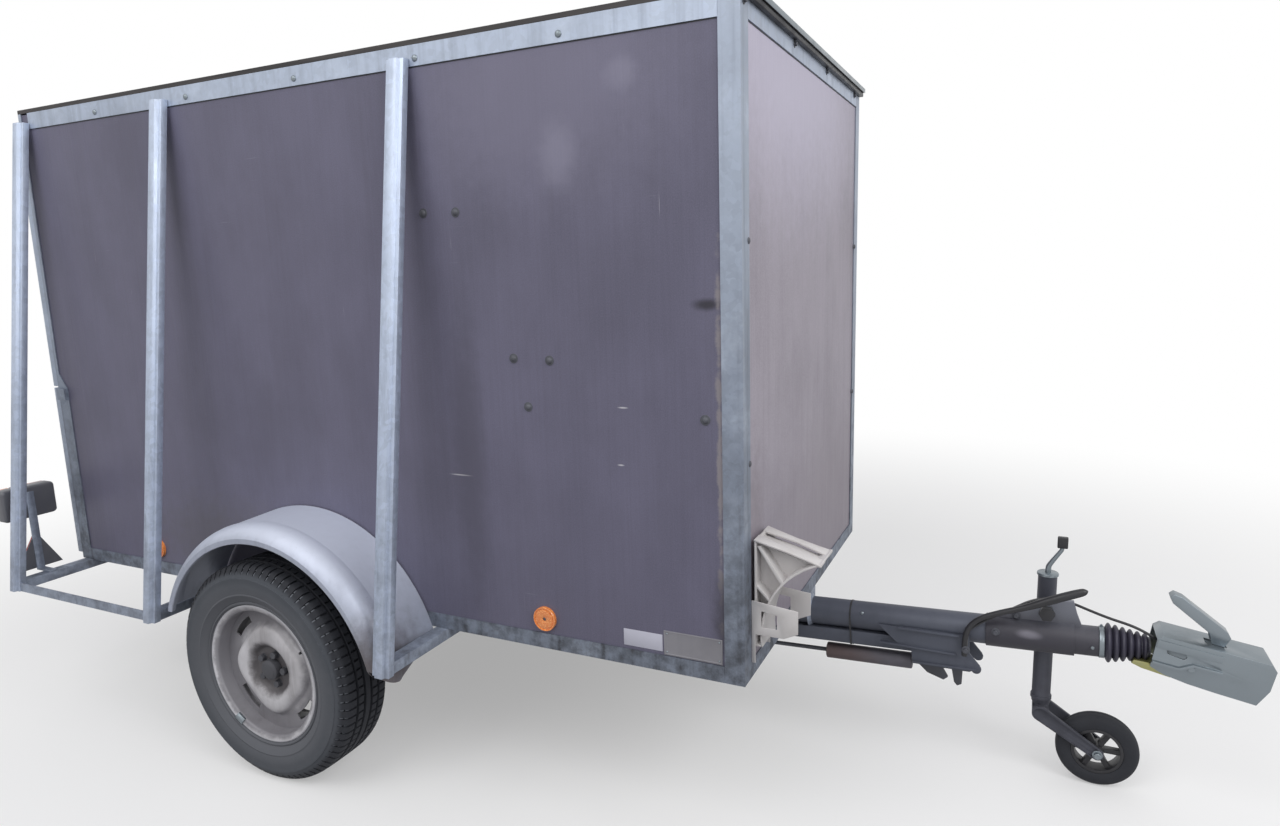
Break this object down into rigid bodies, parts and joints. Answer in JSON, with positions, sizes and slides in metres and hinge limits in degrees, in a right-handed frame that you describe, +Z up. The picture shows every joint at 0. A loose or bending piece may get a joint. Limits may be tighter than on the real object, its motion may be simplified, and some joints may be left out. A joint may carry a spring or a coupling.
{
  "type": "single-axle box trailer with plywood walls and overrun coupling",
  "caption": "Plywood box trailer on a single axle with splayed side posts, rear tailgate and flap, overrun drawbar, coupling head and jockey wheel.",
  "frame": {"origin": "on the floor, below the middle of the trailer's overall length and width", "axes": "+X forwards to the coupling, +Y to the left, +Z up"},
  "size_m": [3.7281, 1.7626, 2.0135],
  "materials": {
    "galvanised": "weathered hot-dip zinc with a faint spangle",
    "plywood": "film-faced plywood, scuffed",
    "wall_board": "dark film-faced plywood with a fine mesh print, faded and scratched",
    "front_board": "film-faced plywood bleached to a lilac grey",
    "roof_board": "weathered film-faced plywood",
    "fender_steel": "dull zinc-coated sheet with a brown stain",
    "dark_steel": "dirty black paint",
    "rim_paint": "off-white paint, dirty",
    "tyre": "worn road tyre, dusty",
    "drawbar_paint": "faded dark grey-blue paint with brown rust stains",
    "bellows_rubber": "matt black rubber",
    "bright_zinc": "bright zinc plate",
    "jockey_steel": "dull dark grey zinc",
    "jockey_rubber": "solid black rubber, dusty",
    "black_plastic": "matt black plastic",
    "grey_plastic": "dark grey plastic",
    "lamp_lens": "red and amber lens",
    "red_reflector": "red reflex lens",
    "amber_reflector": "amber reflex lens",
    "white_plastic": "white moulded plastic"
  },
  "bodies": {
    "trailer": {"bottom_rails": "galvanised", "top_rails": "galvanised", "corner_posts": "galvanised", "floor_panel": "plywood", "side_panel_right": "wall_board", "side_panel_left": "wall_board", "front_panel": "front_board", "roof_panel": "roof_board", "side_posts_right": "galvanised", "side_posts_left": "galvanised", "cross_tubes": "galvanised", "outer_rails": "galvanised", "fender_right": "fender_steel", "fender_left": "fender_steel", "axle_beam": "galvanised", "axle_brackets": "galvanised", "swing_arms": "dark_steel", "backplates": "dark_steel", "drawbar_tube": "drawbar_paint", "drawbar_beam": "drawbar_paint", "drawbar_saddle": "galvanised", "brake_bracket": "drawbar_paint", "spring_cylinder": "drawbar_paint", "brake_rod": "dark_steel", "handbrake_lever": "black_plastic", "overrun_housing": "drawbar_paint", "clamp_knob": "black_plastic", "overrun_shaft": "dark_steel", "bellows": "bellows_rubber", "coupling_head": "bright_zinc", "coupling_handle": "bright_zinc", "jockey_clamp": "dark_steel", "lamp_housings": "grey_plastic", "lamp_lenses": "lamp_lens", "lamp_stays": "galvanised", "triangle_reflectors": "red_reflector", "side_reflectors": "amber_reflector", "wheel_chock": "white_plastic", "chock_holder": "white_plastic", "drawbar_cable": "black_plastic"},
    "wheel_right": {"rim_right": "rim_paint", "tyre_right": "tyre", "hub_drum_right": "dark_steel"},
    "wheel_left": {"rim_left": "rim_paint", "tyre_left": "tyre", "hub_drum_left": "dark_steel"},
    "tailgate": {"tailgate_frame": "galvanised", "tailgate_board": "wall_board"},
    "upper_flap": {"upper_flap_frame": "galvanised", "upper_flap_board": "wall_board"},
    "jockey": {"jockey_tube": "jockey_steel", "jockey_crank": "jockey_steel"},
    "jockey_fork": {"jockey_fork": "jockey_steel"},
    "jockey_wheel": {"jockey_rim": "black_plastic", "jockey_tyre": "jockey_rubber"}
  },
  "joints": [
    {"name": "wheel_right_spin", "type": "hinge", "parent": "trailer", "child": "wheel_right", "pos_m": [-0.654, -0.744, 0.327], "axis": [0, 1, 0], "continuous": true},
    {"name": "wheel_left_spin", "type": "hinge", "parent": "trailer", "child": "wheel_left", "pos_m": [-0.654, 0.744, 0.327], "axis": [0, 1, 0], "continuous": true},
    {"name": "tailgate_hinge", "type": "hinge", "parent": "trailer", "child": "tailgate", "pos_m": [-1.7875, 0, 0.48], "axis": [0, -1, 0], "range_deg": [0, 135]},
    {"name": "upper_flap_hinge", "type": "hinge", "parent": "trailer", "child": "upper_flap", "pos_m": [-1.7875, 0, 1.988], "axis": [0, 1, 0], "range_deg": [0, 100]},
    {"name": "jockey_lift", "type": "slide", "parent": "trailer", "child": "jockey", "axis": [0, 0, 1], "range_m": [0, 0.15]},
    {"name": "jockey_swivel", "type": "hinge", "parent": "jockey", "child": "jockey_fork", "pos_m": [1.367, 0.076, 0.207], "axis": [0, 0, 1], "continuous": true},
    {"name": "jockey_wheel_spin", "type": "hinge", "parent": "jockey_fork", "child": "jockey_wheel", "pos_m": [1.512, 0.076, 0.103], "axis": [0, 1, 0], "continuous": true}
  ]
}
